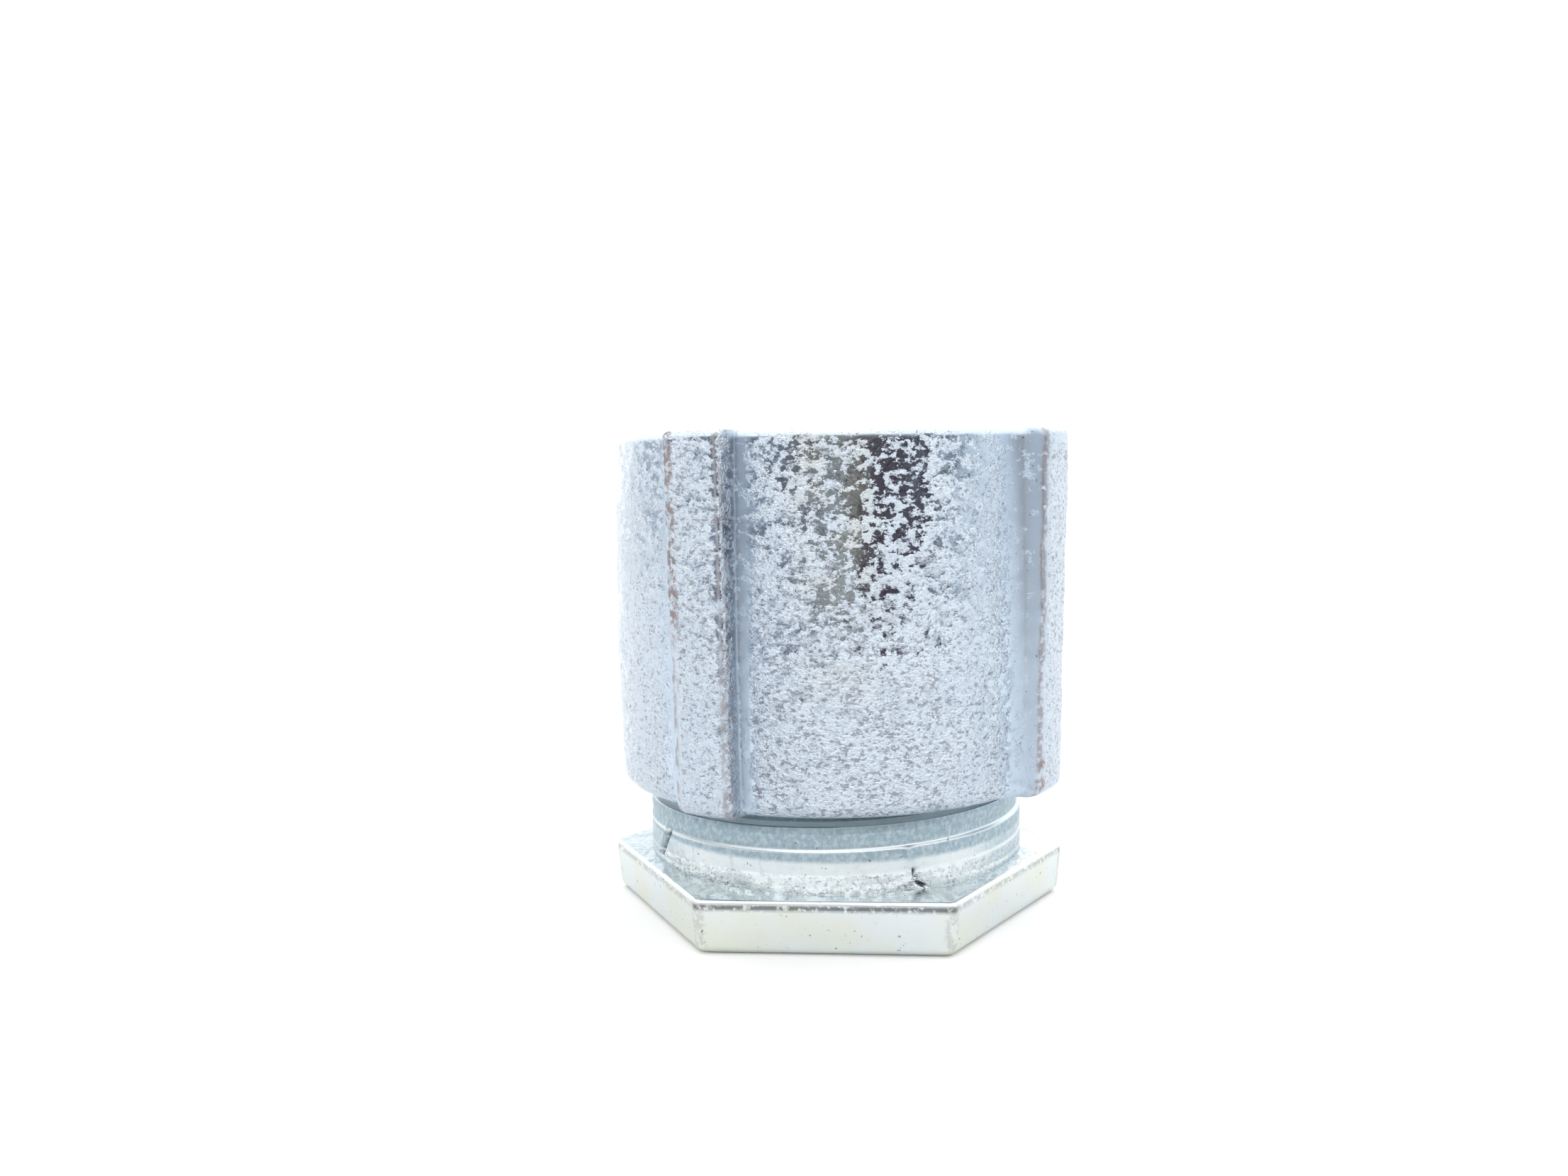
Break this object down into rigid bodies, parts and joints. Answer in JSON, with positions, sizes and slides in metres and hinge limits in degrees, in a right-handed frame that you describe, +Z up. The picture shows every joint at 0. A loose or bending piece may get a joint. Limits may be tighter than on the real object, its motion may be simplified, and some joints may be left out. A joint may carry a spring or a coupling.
{
  "type": "three-piece conduit coupling",
  "caption": "Threaded coupling that joins two rigid conduits that cannot be turned: a hex body, a conduit gland and a lugged ring that screws down over both.",
  "frame": {"origin": "centre of the hexagon's lower face, on the conduit's axis", "axes": "+Z up along the conduit's axis, +X through a corner of the hexagon, +Y across its flats"},
  "size_m": [0.0438, 0.0436, 0.0444],
  "materials": {
    "body_zinc": "bright zinc plate with a faint yellow-green tint on a fairly smooth casting",
    "ring_zinc": "bright bluish zinc plate on a rough sand casting",
    "gland_zinc": "bright zinc plate on a turned casting"
  },
  "bodies": {
    "hub": {"threaded_body": "body_zinc"},
    "gland": {"gland": "gland_zinc"},
    "ring": {"coupling_ring": "ring_zinc"}
  },
  "joints": [
    {"name": "ring_turn", "type": "hinge", "parent": "hub", "child": "gland", "pos_m": [0, 0, 0.022], "axis": [0, 0, 1], "range_deg": [-810, 990]},
    {"name": "ring_travel", "type": "slide", "parent": "gland", "child": "ring", "axis": [0, 0, 1], "range_m": [-0.00497, 0.00607]}
  ],
  "couplings": [
    {"joint": "ring_travel", "follows": "ring_turn", "m_per_rad": 0.00035152}
  ]
}
